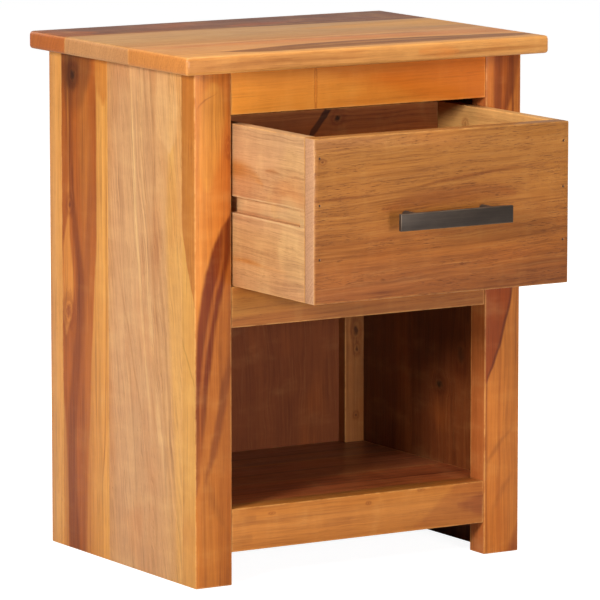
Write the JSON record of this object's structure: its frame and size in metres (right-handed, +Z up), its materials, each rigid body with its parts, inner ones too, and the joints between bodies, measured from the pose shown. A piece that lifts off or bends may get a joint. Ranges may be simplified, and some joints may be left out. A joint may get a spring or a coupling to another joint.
{
  "type": "bedside cabinet",
  "caption": "Solid wood bedside cabinet with a thick overhanging top, a sliding drawer with a flat bar handle and an open shelf compartment below.",
  "frame": {"origin": "on the floor, under the centre of the bounding box of the whole object with the drawer open as stored", "axes": "+Z up, the drawer opens towards -Y, +X to the right of a person who faces the front"},
  "size_m": [0.4, 0.4454, 0.5],
  "materials": {
    "top_wood": "semi-gloss clear lacquer on golden brown hardwood with dark streaks",
    "frame_wood": "semi-gloss clear lacquer on orange brown hardwood",
    "side_wood": "semi-gloss clear lacquer on honey hardwood with dark heartwood streaks",
    "inner_wood": "satin, reddish brown hardwood",
    "drawer_wood": "satin, tan brown hardwood with fine dark pores",
    "panel_board": "matt, thin reddish brown board",
    "handle_metal": "satin dark bronze",
    "screw_steel": "plain zinc"
  },
  "bodies": {
    "cabinet": {"top_board_front": "top_wood", "top_board_middle": "top_wood", "top_board_back": "top_wood", "post_front_left": "frame_wood", "post_front_right": "frame_wood", "post_back_left": "frame_wood", "post_back_right": "frame_wood", "side_board_left_front": "side_wood", "side_board_left_back": "side_wood", "side_board_right_front": "side_wood", "side_board_right_back": "side_wood", "rail_front_top": "frame_wood", "rail_front_middle": "frame_wood", "rail_front_bottom": "frame_wood", "rail_back_top": "inner_wood", "rail_back_bottom": "inner_wood", "back_panel": "panel_board", "shelf_board_front": "inner_wood", "shelf_board_middle": "inner_wood", "shelf_board_back": "inner_wood", "shelf_cleat_left": "inner_wood", "shelf_cleat_right": "inner_wood", "shelf_cleat_screw_left_1": "screw_steel", "shelf_cleat_screw_left_2": "screw_steel", "shelf_cleat_screw_right_1": "screw_steel", "shelf_cleat_screw_right_2": "screw_steel", "corner_block_front_left": "inner_wood", "corner_block_front_right": "inner_wood", "corner_block_back_left": "inner_wood", "corner_block_back_right": "inner_wood", "corner_block_screw_front_left": "screw_steel", "corner_block_screw_front_right": "screw_steel", "corner_block_screw_back_left": "screw_steel", "corner_block_screw_back_right": "screw_steel", "drawer_runner_left": "inner_wood", "drawer_runner_right": "inner_wood", "runner_screw_left_1": "screw_steel", "runner_screw_left_2": "screw_steel", "runner_screw_right_1": "screw_steel", "runner_screw_right_2": "screw_steel"},
    "drawer": {"drawer_front": "drawer_wood", "drawer_side_left": "drawer_wood", "drawer_side_right": "drawer_wood", "drawer_back": "drawer_wood", "drawer_bottom": "panel_board", "drawer_pin_left_1": "screw_steel", "drawer_pin_left_2": "screw_steel", "drawer_pin_left_3": "screw_steel", "drawer_pin_right_1": "screw_steel", "drawer_pin_right_2": "screw_steel", "drawer_pin_right_3": "screw_steel", "handle_bar": "handle_metal", "handle_leg_left": "handle_metal", "handle_leg_right": "handle_metal", "handle_screw_left": "screw_steel", "handle_screw_right": "screw_steel"}
  },
  "joints": [
    {"name": "drawer_slide", "type": "slide", "parent": "cabinet", "child": "drawer", "axis": [0, -1, 0], "range_m": [-0.142, 0.018]}
  ]
}
